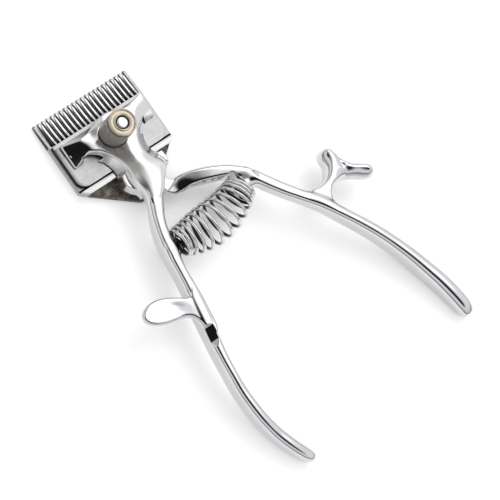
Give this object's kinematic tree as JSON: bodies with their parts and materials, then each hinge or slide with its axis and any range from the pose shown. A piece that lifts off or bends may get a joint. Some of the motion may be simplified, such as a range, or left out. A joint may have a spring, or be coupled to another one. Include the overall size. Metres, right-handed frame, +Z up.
{
  "type": "hair clipper",
  "caption": "Hand-operated hair clipper: comb and sliding cutter blade, two squeeze handles, a coil spring between them and a knurled tension nut.",
  "frame": {"origin": "on the pivot bolt's axis, in the plane of the sole (the flat underside of the comb blade)", "axes": "+Z up, out of the tension nut; -Y toward the blade teeth; +Y along the handles; +X on the side of the fixed handle"},
  "size_m": [0.1086, 0.1476, 0.0212],
  "materials": {
    "chrome_plate": "polished chrome plate on forged steel",
    "blade_steel": "satin ground steel",
    "bright_steel": "bright turned steel",
    "spring_wire": "plated spring wire",
    "nickel_plate": "worn nickel plate on a knurled nut",
    "brass": "turned brass"
  },
  "bodies": {
    "clipper_frame": {"comb_blade": "blade_steel", "fixed_handle": "chrome_plate", "pivot_bolt": "bright_steel", "pivot_sleeve": "bright_steel", "lever_washer": "bright_steel", "yoke_washer": "brass", "pressure_pads": "bright_steel", "blade_screws": "bright_steel", "locating_dowels": "bright_steel", "fixed_spring_peg": "chrome_plate", "spring_seat": "bright_steel", "tension_spring": "spring_wire", "handle_spring": "spring_wire"},
    "lever": {"moving_handle": "chrome_plate", "drive_pin": "bright_steel", "moving_spring_peg": "chrome_plate"},
    "cutter": {"cutter_blade": "blade_steel"},
    "nut_carrier": {"thrust_washer": "bright_steel"},
    "nut": {"tension_nut": "nickel_plate", "nut_cap": "brass"}
  },
  "joints": [
    {"name": "lever_pivot", "type": "hinge", "parent": "clipper_frame", "child": "lever", "pos_m": [0, 0, 0.0056], "axis": [0, 0, -1], "range_deg": [0, 19], "stiffness_Nm_per_rad": 0.6, "springref_deg": -28.65, "deforming": ["handle_spring"]},
    {"name": "cutter_slide", "type": "slide", "parent": "clipper_frame", "child": "cutter", "axis": [-1, 0, 0], "range_m": [0, 0.00183]},
    {"name": "nut_travel", "type": "slide", "parent": "clipper_frame", "child": "nut_carrier", "axis": [0, 0, 1], "range_m": [0, 0.0014], "deforming": ["tension_spring"]},
    {"name": "nut_spin", "type": "hinge", "parent": "nut_carrier", "child": "nut", "pos_m": [0, 0, 0.0148], "axis": [0, 0, 1], "range_deg": [0, 720]}
  ],
  "couplings": [
    {"joint": "cutter_slide", "follows": "lever_pivot", "m_per_rad": 0.0055},
    {"joint": "nut_spin", "follows": "nut_travel", "rad_per_m": 8976}
  ]
}
